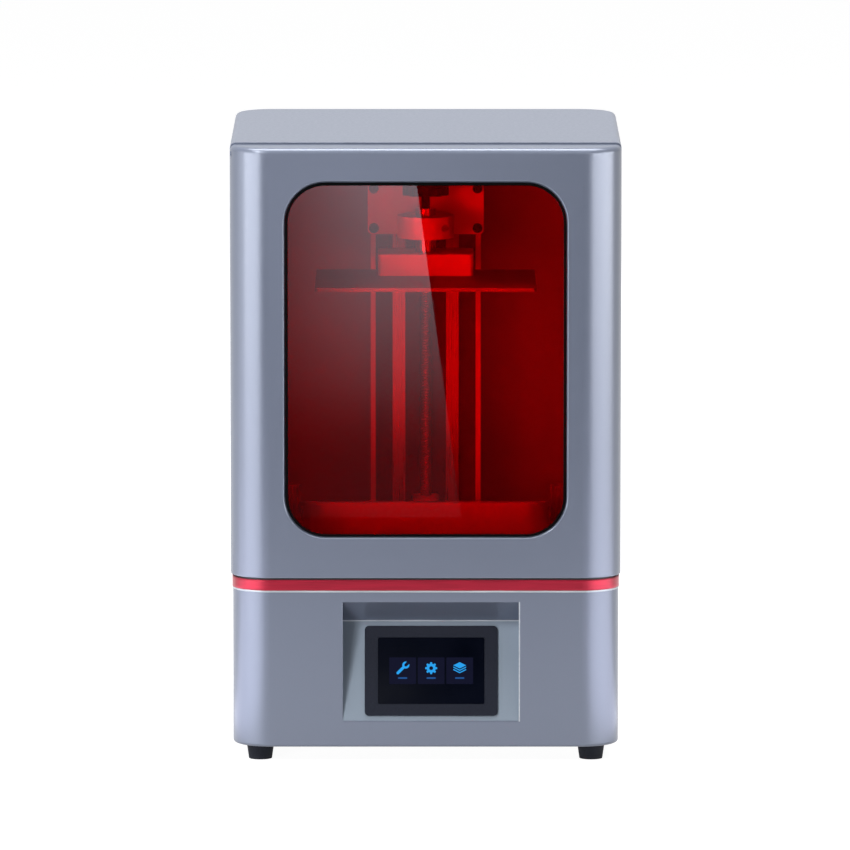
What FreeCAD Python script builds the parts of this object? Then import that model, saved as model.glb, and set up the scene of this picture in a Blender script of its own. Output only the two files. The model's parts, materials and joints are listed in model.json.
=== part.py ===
"""Desktop resin printer: base with a touch screen, red band, hood with a hinged window door.

Millimetres, +Z up, the front faces -Y, origin on the table under the middle of the printer.
"""
import FreeCAD, Part
import os
import re
import Sketcher
from FreeCAD import Placement, Rotation, Vector

SIZES = {
    # Outer casing
    "hood_width": 270.0,
    "hood_depth": 260.0,
    "hood_height": 299.8,
    "corner_radius": 27.0,
    "top_edge_radius": 4.0,
    "hood_rim_radius": 1.0,
    "hood_wall": 4.0,
    "base_height": 109.5,
    "base_inset": 1.5,
    "base_wall": 3.0,
    "base_edge_radius": 2.0,
    "base_rim_radius": 1.0,
    "floor_thickness": 3.0,
    "band_height": 7.5,
    "band_inset": 1.0,
    "band_wall": 6.0,
    "deck_lift": 1.0,
    "deck_edge": 2.5,
    "deck_thickness": 6.0,
    "part_fit": 0.2,
    # Feet
    "foot_height": 10.5,
    "foot_top_radius": 9.5,
    "foot_bottom_radius": 8.0,
    "foot_edge": 20.4,
    # Door and window
    "seam_gap": 1.0,
    "door_step": 1.3,
    "door_lift": 0.4,
    "window_width": 193.6,
    "window_height": 245.6,
    "window_radius": 28.0,
    "window_sill": 29.2,
    "window_bevel": 1.3,
    "gasket_width": 1.6,
    "pane_thickness": 3.0,
    "pane_setback": 0.4,
    "hinge_inset": 4.5,
    "hinge_pin_radius": 1.25,
    "hinge_pin_depth": 5.0,
    "hinge_boss_height": 14.0,
    "hinge_boss_width": 6.0,
    "hinge_tab_height": 3.0,
    "hinge_tab_width": 6.0,
    "hinge_tab_reach": 16.0,
    "running_fit": 0.06,
    "catch_height": 24.0,
    "catch_width": 8.0,
    "catch_depth": 9.0,
    "catch_inset": 0.6,
    # Screen bay in the front of the base
    "bay_width": 122.4,
    "bay_offset": 3.8,
    "bay_depth": 18.0,
    "bay_drop": 8.0,
    "bay_height": 83.6,
    "bay_ceiling": 15.5,
    "bay_wall": 3.0,
    "bezel_width": 92.0,
    "bezel_height": 62.6,
    "bezel_radius": 3.0,
    "bezel_sink": 2.0,
    "bezel_proud": 1.2,
    "display_width": 73.4,
    "display_height": 46.0,
    "display_radius": 1.0,
    "display_thickness": 1.6,
    # Resin vat and masking screen
    "platform_y": -12.0,
    "vat_width": 172.0,
    "vat_depth": 140.0,
    "vat_height": 45.0,
    "vat_wall": 6.0,
    "vat_radius": 16.0,
    "vat_rim": 2.0,
    "vat_rear_drop": 22.0,
    "film_frame_thickness": 1.5,
    "film_thickness": 0.3,
    "ear_width": 18.0,
    "ear_depth": 24.0,
    "ear_height": 25.0,
    "thumb_radius": 7.5,
    "thumb_height": 24.0,
    "thumb_stem_radius": 3.0,
    "thumb_gap": 0.3,
    "lcd_width": 156.0,
    "lcd_depth": 112.0,
    "lcd_thickness": 1.2,
    "lcd_border": 4.0,
    # Column and drive
    "carriage_gap": 4.0,
    "carriage_width": 82.0,
    "carriage_height": 37.0,
    "carriage_thickness": 6.0,
    "carriage_radius": 3.0,
    "carriage_bottom": 217.5,
    "carriage_screw_radius": 3.4,
    "carriage_screw_head": 2.5,
    "carriage_screw_edge": 4.4,
    "column_gap": 4.0,
    "column_width": 78.0,
    "column_depth": 38.0,
    "column_wall": 3.5,
    "column_height": 281.5,
    "column_foot_height": 6.0,
    "column_foot_margin": 9.0,
    "column_cap_height": 5.0,
    "rail_width": 9.0,
    "rail_depth": 12.0,
    "rail_spacing": 38.0,
    "rail_grip": 6.0,
    "rail_end_gap": 8.0,
    "block_width": 20.0,
    "block_height": 30.0,
    "slide_fit": 0.3,
    "screw_radius": 4.0,
    "screw_setback": 14.0,
    "nut_width": 16.0,
    "nut_height": 20.0,
    "coupler_radius": 9.5,
    "coupler_height": 25.0,
    "coupler_lift": 3.0,
    "coupler_hole_gap": 1.5,
    "bearing_radius": 9.0,
    "motor_size": 42.3,
    "motor_height": 40.0,
    "motor_radius": 4.0,
    "motor_boss_radius": 11.0,
    "motor_boss_height": 2.0,
    "motor_shaft_radius": 2.5,
    # Build platform
    "plate_width": 154.0,
    "plate_depth": 112.0,
    "plate_thickness": 2.5,
    "plate_radius": 3.0,
    "plate_height": 192.1,
    "block_front": 72.0,
    "platform_block_width": 67.0,
    "platform_block_depth": 40.0,
    "platform_block_height": 15.0,
    "stem_radius": 7.2,
    "stem_height": 30.7,
    "collar_radius": 20.0,
    "collar_height": 15.5,
    "collar_lift": 10.3,
    "collar_hole_radius": 2.6,
    "arm_width": 26.0,
    "arm_inset": 2.0,
    "knob_radius": 16.5,
    "knob_height": 6.3,
    "knob_rise": 9.5,
    "knob_lobe_radius": 4.0,
    "knob_stud_radius": 3.0,
    "knob_stud_depth": 10.0,
    # Light engine in the base
    "lamp_top_wall": 2.0,
    "lamp_height": 60.0,
    "lamp_taper": 24.0,
    "led_board_thickness": 2.0,
    "sink_plate": 4.0,
    "sink_height": 22.0,
    "fin_thickness": 2.0,
    # Rear panel
    "fan_size": 60.0,
    "fan_depth": 15.0,
    "fan_corner": 4.0,
    "fan_x": -60.0,
    "fan_height": 55.0,
    "fan_bore_radius": 28.0,
    "fan_tip_gap": 1.0,
    "fan_hub_radius": 11.0,
    "fan_pin_radius": 1.5,
    "fan_blade": 1.4,
    "fan_strut": 3.0,
    "fan_rotor_depth": 9.0,
    "grille_slot": 3.0,
    "grille_pitch": 6.0,
    "inlet_width": 28.0,
    "inlet_height": 21.0,
    "inlet_x": 75.0,
    "inlet_lift": 35.0,
    "inlet_body": 22.0,
    "inlet_cavity_width": 22.4,
    "inlet_cavity_height": 15.6,
    "inlet_cavity_depth": 16.0,
    "inlet_pin_recess": 6.0,
    "inlet_proud": 1.0,
    "switch_x": 40.0,
    "switch_width": 21.0,
    "switch_height": 27.0,
    "switch_body": 16.0,
    "switch_rim": 2.5,
    "rocker_fit": 0.8,
    "rocker_pivot": 5.0,
    "rocker_tilt": 7.0,
    "rocker_pin_radius": 1.5,
    "usb_x": 75.0,
    "usb_lift": 75.0,
    "usb_width": 15.0,
    "usb_height": 8.0,
    "usb_body": 16.0,
    "usb_shell": 0.9,
    "usb_tongue": 1.8,
    # Boards in the base
    "board_width": 70.0,
    "board_depth": 90.0,
    "board_thickness": 1.6,
    "board_lift": 6.0,
    "standoff_radius": 3.0,
    "supply_width": 45.0,
    "supply_depth": 95.0,
    "supply_height": 30.0,
    "inner_margin": 8.0,
}
GRILLE_SLOTS = 9
FAN_BLADES = 7
KNOB_LOBES = 10
THUMB_FLUTES = 12
SINK_FINS = 9
BLADE_PITCH = 35.0

doc = FreeCAD.newDocument("resin_printer")
sheet = doc.addObject("Spreadsheet::Sheet", "Sizes")
for row, (alias, size) in enumerate(SIZES.items(), start=1):
    sheet.set(f"A{row}", alias)
    sheet.set(f"B{row}", str(size))
    sheet.setAlias(f"B{row}", alias)
doc.recompute()
nodes = []

# Levels and places that several pieces share
BASE_TOP = "(foot_height + base_height)"
BAY_TOP = f"({BASE_TOP} - bay_drop)"
BAY_CREASE = f"({BAY_TOP} - bay_ceiling)"
BAY_BOTTOM = f"({BAY_TOP} - bay_height)"
BAND_TOP = f"({BASE_TOP} + band_height)"
DECK_TOP = f"({BAND_TOP} + deck_lift)"
DECK_BOTTOM = f"({DECK_TOP} - deck_thickness)"
HOOD_TOP = f"({DECK_TOP} + hood_height)"
DOOR_TOP = f"({HOOD_TOP} - door_step)"
FLOOR_TOP = "(foot_height + floor_thickness)"
HOOD_FRONT = "(-hood_depth / 2)"
HOOD_LEFT = "(-hood_width / 2)"
SEAM = f"({HOOD_FRONT} + corner_radius)"
DOOR_BOTTOM = f"({DECK_TOP} + door_lift)"
HINGE_X = f"({HOOD_LEFT} + hinge_inset)"
HINGE_Y = f"({SEAM} - hinge_inset)"
BASE_WIDTH = "(hood_width - 2 * base_inset)"
BASE_DEPTH = "(hood_depth - 2 * base_inset)"
BASE_FRONT = f"(-{BASE_DEPTH} / 2)"
BASE_REAR = f"({BASE_DEPTH} / 2)"
REAR_INNER = f"({BASE_REAR} - base_wall)"
FILM_TOP = f"({DECK_TOP} + film_frame_thickness + film_thickness)"
CARRIAGE_FRONT = "(platform_y + vat_depth / 2 + carriage_gap)"
CARRIAGE_BACK = f"({CARRIAGE_FRONT} + carriage_thickness)"
CARRIAGE_Z = f"({DECK_TOP} + carriage_bottom)"
COLUMN_FRONT = f"({CARRIAGE_BACK} + column_gap)"
COLUMN_REAR = f"({COLUMN_FRONT} + column_depth)"
COLUMN_TOP = f"({DECK_TOP} + column_height)"
WEB_FRONT = f"({COLUMN_REAR} - column_wall)"
RAIL_FRONT = f"({WEB_FRONT} - rail_depth)"
SCREW_Y = f"({COLUMN_FRONT} + screw_setback)"
COUPLER_BOTTOM = f"({DECK_TOP} + coupler_lift)"
COUPLER_TOP = f"({COUPLER_BOTTOM} + coupler_height)"
PLATE_BOTTOM = f"({DECK_TOP} + plate_height)"
PLATE_TOP = f"({PLATE_BOTTOM} + plate_thickness)"
BLOCK_TOP = f"({PLATE_TOP} + platform_block_height)"
BLOCK_FRONT = "(platform_y - plate_depth / 2 + block_front)"
COLLAR_Y = f"({BLOCK_FRONT} + platform_block_depth / 2)"
COLLAR_BOTTOM = f"({BLOCK_TOP} + collar_lift)"
COLLAR_TOP = f"({COLLAR_BOTTOM} + collar_height)"
STEM_TOP = f"({BLOCK_TOP} + stem_height)"
STUD_BOTTOM = f"({STEM_TOP} - knob_stud_depth)"
KNOB_BOTTOM = f"({STEM_TOP} + knob_rise)"
THUMB_X = "(vat_width / 2 + ear_width / 2)"
EAR_TOP = f"({DECK_TOP} + ear_height)"
FRONTWARD = Rotation(Vector(1, 0, 0), 90)
SIDEWAYS = Rotation(Vector(1, 1, 1), 120)
ALONG_X = Rotation(Vector(0, 1, 0), 90)
ALONG_Y = Rotation(Vector(1, 0, 0), -90)
UPRIGHT = Rotation()


def bound(text):
    """The expression text with every size read from its cell."""
    return re.sub(r"[a-z][a-z_]*", lambda word: cell(word.group()), str(text))


def cell(word):
    return f"Sizes.{word}" if word in SIZES else word


def number(text):
    return float(sheet.evalExpression(bound(text)))


def place(solid, x, y, z, rotation=UPRIGHT):
    solid.Placement = Placement(Vector(), rotation)
    for axis, text in zip("xyz", (x, y, z)):
        solid.setExpression(f"Placement.Base.{axis}", bound(text))
    return solid


def box(name, span_x, span_y, span_z):
    """A block between two places along each axis."""
    solid = doc.addObject("Part::Box", name)
    spans = (span_x, span_y, span_z)
    for side, (low, high) in zip(("Length", "Width", "Height"), spans):
        solid.setExpression(side, bound(f"({high}) - ({low})"))
    return place(solid, *(low for low, high in spans))


def about(middle, size):
    """The span of a size that is centred on a place."""
    return f"{middle} - ({size}) / 2", f"{middle} + ({size}) / 2"


def cylinder(name, radius, length, x, y, z, rotation=UPRIGHT):
    solid = doc.addObject("Part::Cylinder", name)
    solid.setExpression("Radius", bound(radius))
    solid.setExpression("Height", bound(length))
    return place(solid, x, y, z, rotation)


def pin(name, radius, low, high, x, y):
    """An upright cylinder between two levels."""
    return cylinder(name, radius, f"({high}) - ({low})", x, y, low)


def gather(kind, name, solids):
    group = doc.addObject(kind, name)
    setattr(group, "Links" if kind == "Part::Compound" else "Shapes", list(solids))
    return group


def fuse(name, *solids):
    return gather("Part::MultiFuse", name, solids)


def cut(name, base, *tools):
    solid = doc.addObject("Part::Cut", name)
    solid.Base = base
    solid.Tool = tools[0] if len(tools) == 1 else fuse(f"{name}_tools", *tools)
    return solid


def common(name, first, second):
    solid = doc.addObject("Part::Common", name)
    solid.Base = first
    solid.Tool = second
    return solid


def node(label, solid):
    """Keep a finished piece under its own name."""
    solid.Label = label
    nodes.append(solid)
    return solid


def origin_plane(body, role):
    return next(plane for plane in body.Origin.OriginFeatures if plane.Role == role)


def new_sketch(name):
    body = doc.addObject("PartDesign::Body", name)
    sketch = body.newObject("Sketcher::SketchObject", f"{name}_sketch")
    sketch.AttachmentSupport = (origin_plane(body, "XY_Plane"), [""])
    sketch.MapMode = "FlatFace"
    return body, sketch


def measure(sketch, title, expression, *constraint):
    """Add a dimension to a sketch and bind it to the sizes."""
    index = sketch.addConstraint(Sketcher.Constraint(*constraint, number(expression)))
    sketch.renameConstraint(index, title)
    sketch.setExpression(f"Constraints.{title}", bound(expression))


def pad(body, sketch, length):
    feature = body.newObject("PartDesign::Pad", f"{body.Name}_pad")
    feature.Profile = sketch
    feature.setExpression("Length", bound(length))
    return feature


def rounded(name, width, height, radius, length, x, y, z, rotation=UPRIGHT):
    """A rounded rectangle, centred on its place and padded by a length."""
    body, sketch = new_sketch(name)
    reach_x = number(f"({width}) / 2 - ({radius})")
    reach_y = number(f"({height}) / 2 - ({radius})")
    bend = number(radius)
    quarter = 1.5707963267948966
    corners = ((reach_x, reach_y), (-reach_x, reach_y), (-reach_x, -reach_y), (reach_x, -reach_y))
    arcs = []
    for turn, (corner_x, corner_y) in enumerate(corners):
        circle = Part.Circle(Vector(corner_x, corner_y, 0), Vector(0, 0, 1), bend)
        arc = Part.ArcOfCircle(circle, turn * quarter, (turn + 1) * quarter)
        arcs.append(sketch.addGeometry(arc))
    lines = []
    for turn, arc in enumerate(arcs):
        start = sketch.Geometry[arc].EndPoint
        end = sketch.Geometry[arcs[(turn + 1) % 4]].StartPoint
        lines.append(sketch.addGeometry(Part.LineSegment(start, end)))
    for turn, line in enumerate(lines):
        sketch.addConstraint(Sketcher.Constraint("Tangent", arcs[turn], 2, line, 1))
        sketch.addConstraint(Sketcher.Constraint("Tangent", line, 2, arcs[(turn + 1) % 4], 1))
        direction = "Horizontal" if turn % 2 == 0 else "Vertical"
        sketch.addConstraint(Sketcher.Constraint(direction, line))
        if turn:
            sketch.addConstraint(Sketcher.Constraint("Equal", arcs[0], arcs[turn]))
    sketch.addConstraint(Sketcher.Constraint("Symmetric", arcs[0], 3, arcs[2], 3, -1, 1))
    measure(sketch, "bend", radius, "Radius", arcs[0])
    measure(sketch, "across", f"({width}) - 2 * ({radius})", "DistanceX", arcs[1], 3, arcs[0], 3)
    measure(sketch, "along", f"({height}) - 2 * ({radius})", "DistanceY", arcs[3], 3, arcs[0], 3)
    pad(body, sketch, length)
    return place(body, x, y, z, rotation)


def profile(name, points, length, x, y, z, rotation):
    """A prism whose outline has its corners at the given places."""
    body, sketch = new_sketch(name)
    places = [Vector(number(across), number(up), 0) for across, up in points]
    count = len(places)
    for index, start in enumerate(places):
        sketch.addGeometry(Part.LineSegment(start, places[(index + 1) % count]))
    for index, (across, up) in enumerate(points):
        sketch.addConstraint(Sketcher.Constraint("Coincident", index, 2, (index + 1) % count, 1))
        measure(sketch, f"across_{index}", across, "DistanceX", -1, 1, index, 1)
        measure(sketch, f"up_{index}", up, "DistanceY", -1, 1, index, 1)
    pad(body, sketch, length)
    return place(body, x, y, z, rotation)


def round_end(body, radius, level):
    """Round the edges of the end face that lies at a level of the body's own frame."""
    doc.recompute()
    feature = body.Tip
    height = number(level)
    names = []
    for index, edge in enumerate(feature.Shape.Edges, start=1):
        if all(abs(vertex.Z - height) < 1e-6 for vertex in edge.Vertexes):
            names.append(f"Edge{index}")
    fillet = body.newObject("PartDesign::Fillet", f"{feature.Name}_round")
    fillet.Base = (feature, names)
    fillet.setExpression("Radius", bound(radius))
    return body


def frustum(name, low_width, low_depth, high_width, high_depth, low, high, y):
    """A tapered block that stands between two levels."""
    solid = doc.addObject("Part::Wedge", name)
    sides = {
        "Xmin": f"-({low_width}) / 2", "Xmax": f"({low_width}) / 2",
        "Zmin": f"-({low_depth}) / 2", "Zmax": f"({low_depth}) / 2",
        "X2min": f"-({high_width}) / 2", "X2max": f"({high_width}) / 2",
        "Z2min": f"-({high_depth}) / 2", "Z2max": f"({high_depth}) / 2",
        "Ymin": "0", "Ymax": f"({high}) - ({low})",
    }
    for side, text in sides.items():
        solid.setExpression(side, bound(text))
    return place(solid, "0", y, low, FRONTWARD)


def make_feet():
    places = {"front_left": (-1, -1), "front_right": (1, -1), "rear_left": (-1, 1), "rear_right": (1, 1)}
    for corner, (side, end) in places.items():
        foot = doc.addObject("Part::Cone", f"foot_{corner}")
        foot.setExpression("Radius1", bound("foot_bottom_radius"))
        foot.setExpression("Radius2", bound("foot_top_radius"))
        foot.setExpression("Height", bound("foot_height"))
        place(foot, f"{side} * (hood_width / 2 - foot_edge)", f"{end} * (hood_depth / 2 - foot_edge)", "0")
        node(f"foot_{corner}", foot)


def bay_wedge():
    """The sloping recess: a ceiling that runs back to a crease and a panel that leans back to it."""
    outside = f"{BASE_FRONT} - base_wall"
    corners = (
        (outside, BAY_BOTTOM),
        (BASE_FRONT, BAY_BOTTOM),
        (f"{BASE_FRONT} + bay_depth", BAY_CREASE),
        (BASE_FRONT, BAY_TOP),
        (outside, BAY_TOP),
    )
    return profile("bay_wedge", corners, "bay_width", "bay_offset - bay_width / 2", "0", "0", SIDEWAYS)


BAY_RISE = "(bay_height - bay_ceiling)"
BAY_SLOPE = f"sqrt(bay_depth ^ 2 + {BAY_RISE} ^ 2)"


def on_panel(name, width, height, radius, sink, length):
    """A rounded plate lying on the leaning panel, its back a distance below the panel's face."""
    middle_y = f"{BASE_FRONT} + bay_depth / 2 + ({sink}) * {BAY_RISE} / {BAY_SLOPE}"
    middle_z = f"({BAY_BOTTOM} + {BAY_CREASE}) / 2 - ({sink}) * bay_depth / {BAY_SLOPE}"
    plate = rounded(name, width, height, radius, length, "bay_offset", middle_y, middle_z, FRONTWARD)
    plate.setExpression("Placement.Rotation.Angle", bound(f"90 deg - atan(bay_depth / {BAY_RISE})"))
    return plate


def rear_hole(name, width, height, x, z):
    return box(name, about(x, width), (f"{REAR_INNER} - base_wall", f"{BASE_REAR} + base_wall"), about(z, height))


FAN_Z = f"({FLOOR_TOP} + fan_height)"
INLET_Z = f"({FLOOR_TOP} + inlet_lift)"
USB_Z = f"({FLOOR_TOP} + usb_lift)"
FIT = "2 * part_fit"


def make_base():
    outer = rounded("base_outer", BASE_WIDTH, BASE_DEPTH, "corner_radius - base_inset", "base_height",
                    "0", "0", "foot_height")
    round_end(outer, "base_edge_radius", "0")
    round_end(outer, "base_rim_radius", "base_height")
    inner = rounded("base_inner", f"{BASE_WIDTH} - 2 * base_wall", f"{BASE_DEPTH} - 2 * base_wall",
                    "corner_radius - base_inset - base_wall", "base_height + 2 * base_wall",
                    "0", "0", "foot_height - base_wall")
    bay_back = box("bay_back", about("bay_offset", "bay_width + 2 * bay_wall"),
                   (f"{BASE_FRONT} + base_wall / 2", f"{BASE_FRONT} + bay_depth + bay_wall"),
                   (f"{BAY_BOTTOM} - bay_wall", f"{BAY_TOP} + bay_wall"))
    shell = fuse("base_shell", cut("base_tube", outer, inner), bay_back)
    bezel_seat = on_panel("bezel_seat", f"bezel_width + {FIT}", f"bezel_height + {FIT}", "bezel_radius + part_fit",
                          "bezel_sink", "bezel_sink + bezel_proud")
    holes = (
        bay_wedge(),
        bezel_seat,
        rear_hole("grille_hole", "fan_size", "fan_size", "fan_x", FAN_Z),
        rear_hole("inlet_hole", f"inlet_width + {FIT}", f"inlet_height + {FIT}", "inlet_x", INLET_Z),
        rear_hole("switch_hole", f"switch_width + {FIT}", f"switch_height + {FIT}", "switch_x", INLET_Z),
        rear_hole("usb_hole", f"usb_width + {FIT}", f"usb_height + {FIT}", "usb_x", USB_Z),
    )
    node("base_housing", cut("base_housing", shell, *holes))
    node("base_floor", rounded("base_floor", f"{BASE_WIDTH} - 2 * base_wall - {FIT}",
                               f"{BASE_DEPTH} - 2 * base_wall - {FIT}",
                               "corner_radius - base_inset - base_wall - part_fit", "floor_thickness",
                               "0", "0", "foot_height"))


def make_touch_screen():
    bezel = on_panel("bezel_plate", "bezel_width", "bezel_height", "bezel_radius", "bezel_sink",
                     "bezel_sink + bezel_proud")
    seat = on_panel("display_seat", f"display_width + {FIT}", f"display_height + {FIT}",
                    "display_radius + part_fit", "display_thickness - bezel_proud", "2 * display_thickness")
    node("touch_bezel", cut("touch_bezel", bezel, seat))
    node("touch_display", on_panel("touch_display", "display_width", "display_height", "display_radius",
                                   "display_thickness - bezel_proud", "display_thickness"))


def make_band_and_deck():
    width = "hood_width - 2 * band_inset"
    depth = "hood_depth - 2 * band_inset"
    outer = rounded("band_outer", width, depth, "corner_radius - band_inset", "band_height", "0", "0", BASE_TOP)
    inner = rounded("band_inner", f"{width} - 2 * band_wall", f"{depth} - 2 * band_wall",
                    "corner_radius - band_inset - band_wall", "3 * band_height", "0", "0",
                    f"{BASE_TOP} - band_height")
    pin_hole = pin("band_hinge_hole", "hinge_pin_radius + running_fit", DECK_BOTTOM, DECK_TOP, HINGE_X, HINGE_Y)
    node("accent_band", cut("accent_band", outer, inner, pin_hole))
    flange = rounded("deck_flange", "hood_width - 2 * deck_edge", "hood_depth - 2 * deck_edge",
                     "corner_radius - deck_edge", "deck_lift", "0", "0", BAND_TOP)
    body = rounded("deck_body", f"{width} - 2 * band_wall - {FIT}", f"{depth} - 2 * band_wall - {FIT}",
                   "corner_radius - band_inset - band_wall - part_fit", "deck_thickness", "0", "0", DECK_BOTTOM)
    through = (f"{DECK_BOTTOM} - deck_thickness", f"{DECK_TOP} + deck_thickness")
    light_hole = box("deck_light_hole", about("0", "lcd_width - 2 * lcd_border"),
                     about("platform_y", "lcd_depth - 2 * lcd_border"), through)
    motor_hole = pin("deck_motor_hole", "motor_boss_radius + part_fit", *through, "0", SCREW_Y)
    thumb_holes = [pin(f"deck_thumb_hole_{side}", "thumb_stem_radius + running_fit", *through,
                       f"{sign} * {THUMB_X}", "platform_y") for side, sign in (("left", -1), ("right", 1))]
    hinge_hole = pin("deck_hinge_hole", "hinge_pin_radius + running_fit", *through, HINGE_X, HINGE_Y)
    deck = fuse("deck_whole", flange, body)
    node("deck_plate", cut("deck_plate", deck, light_hole, motor_hole, hinge_hole, *thumb_holes))


def hood_shell(name, height):
    """The hood's whole skin, open below, of which the housing and the door each take a part."""
    outer = rounded(f"{name}_outer", "hood_width", "hood_depth", "corner_radius", height, "0", "0", DECK_TOP)
    round_end(outer, "top_edge_radius", height)
    round_end(outer, "hood_rim_radius", "0")
    inner = rounded(f"{name}_inner", "hood_width - 2 * hood_wall", "hood_depth - 2 * hood_wall",
                    "corner_radius - hood_wall", height, "0", "0", f"{DECK_TOP} - hood_wall")
    return cut(f"{name}_shell", outer, inner)


ACROSS = (f"{HOOD_LEFT} - hood_wall", "hood_width / 2 + hood_wall")
TAB_TOP = f"({DOOR_TOP} - hood_wall - door_lift)"
TAB_BOTTOM = f"({TAB_TOP} - hinge_tab_height)"
CATCH_X = "(hood_width / 2 - hood_wall)"
CATCH_SPAN = (f"{CATCH_X} - catch_width", CATCH_X)
CATCH_LEVEL = about(f"({DECK_TOP} + hood_height / 2)", "catch_height")
WINDOW_Z = f"({DECK_TOP} + window_sill + window_height / 2)"


def in_window(name, inset, front, length):
    """A rounded upright plate that is centred on the window."""
    return rounded(name, f"window_width - 2 * ({inset})", f"window_height - 2 * ({inset})",
                   f"window_radius - ({inset})", length, "0", f"{HOOD_FRONT} + ({front}) + ({length})",
                   WINDOW_Z, FRONTWARD)


def make_housing():
    behind = box("housing_side", ACROSS, (f"{SEAM} + seam_gap", "hood_depth / 2 + hood_wall"),
                 (f"{DECK_TOP} - hood_wall", f"{HOOD_TOP} + hood_wall"))
    node("upper_housing", common("upper_housing", hood_shell("housing", "hood_height"), behind))
    node("catch_magnet", box("catch_magnet", CATCH_SPAN,
                             (f"{SEAM} + seam_gap", f"{SEAM} + seam_gap + catch_depth"), CATCH_LEVEL))
    knuckle = pin("hinge_knuckle", "hinge_tab_width / 2", TAB_BOTTOM, TAB_TOP, HINGE_X, HINGE_Y)
    arm = box("hinge_arm", (f"{HOOD_LEFT} + hood_wall", f"{HOOD_LEFT} + hood_wall + hinge_tab_width"),
              (f"{HINGE_Y} - hinge_tab_width / 2", f"{SEAM} + hinge_tab_reach"), (TAB_BOTTOM, TAB_TOP))
    bore = pin("hinge_tab_bore", "hinge_pin_radius", f"{TAB_BOTTOM} - hood_wall", HOOD_TOP, HINGE_X, HINGE_Y)
    node("hinge_bracket", cut("hinge_bracket", fuse("hinge_tab", knuckle, arm), bore))
    node("hinge_pin_upper", pin("hinge_pin_upper", "hinge_pin_radius", TAB_BOTTOM,
                                f"{DOOR_TOP} - hood_wall / 2", HINGE_X, HINGE_Y))
    node("hinge_pin_lower", pin("hinge_pin_lower", "hinge_pin_radius", DECK_BOTTOM,
                                f"{DOOR_BOTTOM} + hinge_pin_depth", HINGE_X, HINGE_Y))


def make_door():
    ahead = box("door_side", ACROSS, (f"{HOOD_FRONT} - hood_wall", SEAM), (DOOR_BOTTOM, f"{HOOD_TOP} + hood_wall"))
    front = common("door_front", hood_shell("door", "hood_height - door_step"), ahead)
    boss = box("hinge_boss", (f"{HOOD_LEFT} + hood_wall / 2", f"{HINGE_X} + hinge_boss_width"),
               (f"{HINGE_Y} - hinge_boss_width", f"{HINGE_Y} + hinge_inset / 2"),
               (DOOR_BOTTOM, f"{DOOR_BOTTOM} + hinge_boss_height"))
    below = f"{DECK_TOP} - hood_wall"
    above = f"{HOOD_TOP} + hood_wall"
    corner = box("hinge_corner", (ACROSS[0], HINGE_X), (HINGE_Y, f"{SEAM} + hood_wall"), (below, above))
    barrel = pin("hinge_barrel", "hinge_inset", f"{below} - hood_wall", f"{above} + hood_wall", HINGE_X, HINGE_Y)
    notch = box("hinge_notch", (ACROSS[0], f"{HOOD_LEFT} + hood_wall + hinge_tab_width"),
                (f"{HINGE_Y} - hinge_tab_width / 2 - 2 * door_lift", f"{SEAM} + hood_wall"),
                (f"{TAB_BOTTOM} - door_lift", f"{DOOR_TOP} - hood_wall"))
    bore = "hinge_pin_radius + running_fit"
    lower_bore = pin("door_lower_bore", bore, below, f"{DOOR_BOTTOM} + hinge_pin_depth + door_lift", HINGE_X, HINGE_Y)
    upper_bore = pin("door_upper_bore", bore, f"{TAB_BOTTOM} - hood_wall", f"{DOOR_TOP} - hood_wall / 2 + door_lift",
                     HINGE_X, HINGE_Y)
    opening = in_window("window_opening", "0", "-hood_wall", "3 * hood_wall")
    slope = in_window("window_slope", "0", "-window_bevel", "2 * window_bevel")
    slope.Tip.TaperAngle = 45.0
    node("front_door", cut("front_door", fuse("door_panel", front, boss), cut("hinge_round", corner, barrel),
                           notch, lower_bore, upper_bore, opening, slope))
    catch_span = [f"{edge} - catch_inset" for edge in CATCH_SPAN]
    node("door_catch", box("door_catch", catch_span, (f"{SEAM} - catch_depth / 2", SEAM), CATCH_LEVEL))
    ring = in_window("gasket_ring", "part_fit", "pane_setback / 2", "hood_wall - pane_setback / 2")
    bore_out = in_window("gasket_bore", "part_fit + gasket_width", "-hood_wall", "3 * hood_wall")
    node("window_gasket", cut("window_gasket", ring, bore_out))
    node("door_window", in_window("door_window", "2 * part_fit + gasket_width", "pane_setback", "pane_thickness"))


def vat_slope():
    """What is cut off above the vat's walls, so that they fall from the front to the rear."""
    top = f"{FILM_TOP} + vat_height"
    front = "platform_y - vat_depth / 2 + vat_wall"
    rear = "platform_y + vat_depth / 2 + 2 * vat_rim"
    corners = ((front, top), (rear, f"{top} - vat_rear_drop"), (rear, f"{top} + vat_rim"), (front, f"{top} + vat_rim"))
    return profile("vat_slope", corners, "vat_width + 4 * vat_rim", "-vat_width / 2 - 2 * vat_rim", "0", "0", SIDEWAYS)


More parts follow.
